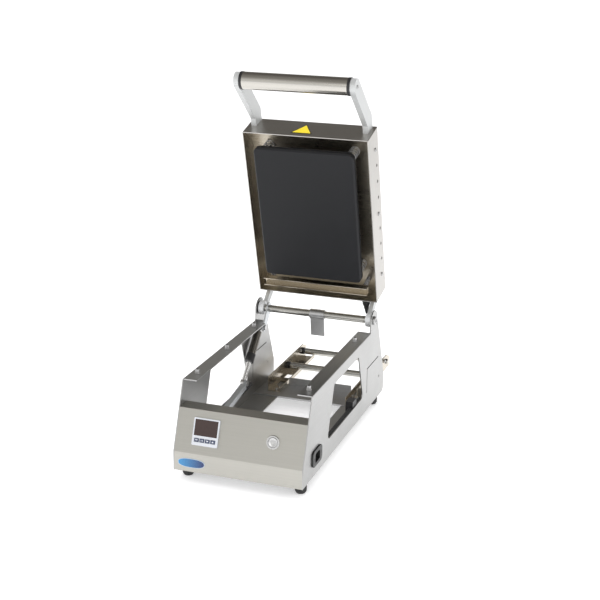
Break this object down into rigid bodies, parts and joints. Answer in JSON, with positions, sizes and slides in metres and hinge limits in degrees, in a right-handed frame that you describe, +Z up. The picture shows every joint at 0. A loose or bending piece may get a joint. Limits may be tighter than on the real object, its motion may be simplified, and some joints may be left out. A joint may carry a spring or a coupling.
{
  "type": "manual tray sealing machine",
  "caption": "Tabletop tray sealer: folded stainless base with side windows, hinged lid with sprung heater plate, bar handle, film carrier and temperature controller.",
  "frame": {"origin": "on the table, under the middle of the footprint", "axes": "+Z up, -Y front, where the control panel is, +X to the right seen from the front"},
  "size_m": [0.2492, 0.6358, 0.6809],
  "materials": {
    "stainless_brushed": "fine brushed stainless sheet",
    "carrier_steel": "bright sheet with warm reflections",
    "polished_steel": "ground and polished bar",
    "fastener_steel": "turned steel",
    "spring_steel": "bright spring wire",
    "satin_aluminium": "bead blasted",
    "button_steel": "spun stainless",
    "coated_plate": "dark non-stick coating, matte",
    "boss_steel": "pressed steel cups",
    "clamp_steel": "folded sheet, warm reflections",
    "flap_steel": "satin",
    "dark_chrome": "dark bright tube",
    "black_plastic": "moulded black",
    "rubber_feet": "moulded",
    "bezel_plastic": "silver grey satin",
    "display": "dark brown tinted window",
    "keys": "dark blue grey",
    "contact_brass": "plated blades",
    "badge_blue": "blank blue badge",
    "label_yellow": "plain yellow foil"
  },
  "bodies": {
    "base": {"side_plate_left": "stainless_brushed", "side_plate_right": "stainless_brushed", "front_panel": "stainless_brushed", "control_cover": "stainless_brushed", "control_floor": "stainless_brushed", "cross_plate": "stainless_brushed", "feet": "rubber_feet", "mould_studs": "fastener_steel", "carrier_left": "carrier_steel", "carrier_right": "carrier_steel", "carrier_bolts": "fastener_steel", "roller_bushings": "black_plastic", "conduit_left": "black_plastic", "conduit_right": "black_plastic", "conduit_gland": "black_plastic", "anchor_bar": "satin_aluminium", "anchor_pin": "fastener_steel", "controller_housing": "bezel_plastic", "controller_display": "display", "button_ring": "button_steel", "inlet_body": "black_plastic", "inlet_pins": "contact_brass", "badge": "badge_blue", "hinge_bearings": "black_plastic"},
    "lid": {"hinge_collars": "satin_aluminium", "hinge_shaft": "polished_steel", "shaft_bolts": "fastener_steel", "lid_arm_left": "satin_aluminium", "lid_arm_right": "satin_aluminium", "crank_lug": "satin_aluminium", "crank_pin": "fastener_steel", "lid_gland": "black_plastic", "lid_shell": "stainless_brushed", "lid_inner_plate": "stainless_brushed", "guide_pins": "polished_steel", "plate_springs": "spring_steel", "clamp_springs": "spring_steel", "handle_arm_left": "satin_aluminium", "handle_arm_right": "satin_aluminium", "handle_tube": "polished_steel", "handle_rings": "black_plastic", "lid_screws": "fastener_steel", "lid_label": "label_yellow"},
    "heater": {"heater_plate": "coated_plate", "plate_bosses": "boss_steel"},
    "clamp": {"clamp_bar": "clamp_steel"},
    "key_1": {"key_1": "keys"},
    "key_2": {"key_2": "keys"},
    "key_3": {"key_3": "keys"},
    "key_4": {"key_4": "keys"},
    "button": {"button_cap": "button_steel"},
    "roller_front": {"roller_front": "polished_steel"},
    "roller_rear": {"roller_rear": "polished_steel"},
    "flap": {"film_flap": "flap_steel"},
    "spring_rod": {"spring_rod": "polished_steel"},
    "spring_tube": {"spring_tube": "dark_chrome", "spring_caps": "black_plastic"}
  },
  "joints": [
    {"name": "lid_hinge", "type": "hinge", "parent": "base", "child": "lid", "pos_m": [0, 0.0974, 0.1955], "axis": [1, 0, 0], "range_deg": [0, 74], "stiffness_Nm_per_rad": 12, "springref_deg": -20.05},
    {"name": "heater_slide", "type": "slide", "parent": "lid", "child": "heater", "axis": [0, 0.9613, 0.2756], "range_m": [0, 0.005], "stiffness_N_per_m": 8000, "springref_m": -0.003},
    {"name": "clamp_slide", "type": "slide", "parent": "lid", "child": "clamp", "axis": [0, 0.9613, 0.2756], "range_m": [0, 0.004], "stiffness_N_per_m": 1500, "springref_m": -0.004},
    {"name": "flap_swing", "type": "hinge", "parent": "base", "child": "flap", "pos_m": [0, 0.0974, 0.1955], "axis": [1, 0, 0], "range_deg": [-70, 70]},
    {"name": "roller_front_spin", "type": "hinge", "parent": "base", "child": "roller_front", "pos_m": [0, 0.1989, 0.041], "axis": [1, 0, 0], "continuous": true},
    {"name": "roller_rear_spin", "type": "hinge", "parent": "base", "child": "roller_rear", "pos_m": [0, 0.2939, 0.041], "axis": [1, 0, 0], "continuous": true},
    {"name": "button_press", "type": "slide", "parent": "base", "child": "button", "axis": [0, 0.9397, -0.342], "range_m": [0, 0.0025], "stiffness_N_per_m": 700, "springref_m": -0.001},
    {"name": "key_1_press", "type": "slide", "parent": "base", "child": "key_1", "axis": [0, 0.9397, -0.342], "range_m": [0, 0.0008], "stiffness_N_per_m": 400, "springref_m": -0.0006},
    {"name": "key_2_press", "type": "slide", "parent": "base", "child": "key_2", "axis": [0, 0.9397, -0.342], "range_m": [0, 0.0008], "stiffness_N_per_m": 400, "springref_m": -0.0006},
    {"name": "key_3_press", "type": "slide", "parent": "base", "child": "key_3", "axis": [0, 0.9397, -0.342], "range_m": [0, 0.0008], "stiffness_N_per_m": 400, "springref_m": -0.0006},
    {"name": "key_4_press", "type": "slide", "parent": "base", "child": "key_4", "axis": [0, 0.9397, -0.342], "range_m": [0, 0.0008], "stiffness_N_per_m": 400, "springref_m": -0.0006},
    {"name": "spring_pivot", "type": "hinge", "parent": "base", "child": "spring_rod", "pos_m": [-0.1079, -0.0191, 0.076], "axis": [1, 0, 0], "range_deg": [-13.5, 0.5]},
    {"name": "spring_slide", "type": "slide", "parent": "spring_rod", "child": "spring_tube", "axis": [0, 0.7172, 0.6969], "range_m": [-0.001, 0.0395]}
  ],
  "couplings": [
    {"joint": "spring_pivot", "follows": "lid_hinge", "ratio": -0.17369},
    {"joint": "spring_slide", "follows": "lid_hinge", "m_per_rad": 0.029724}
  ]
}
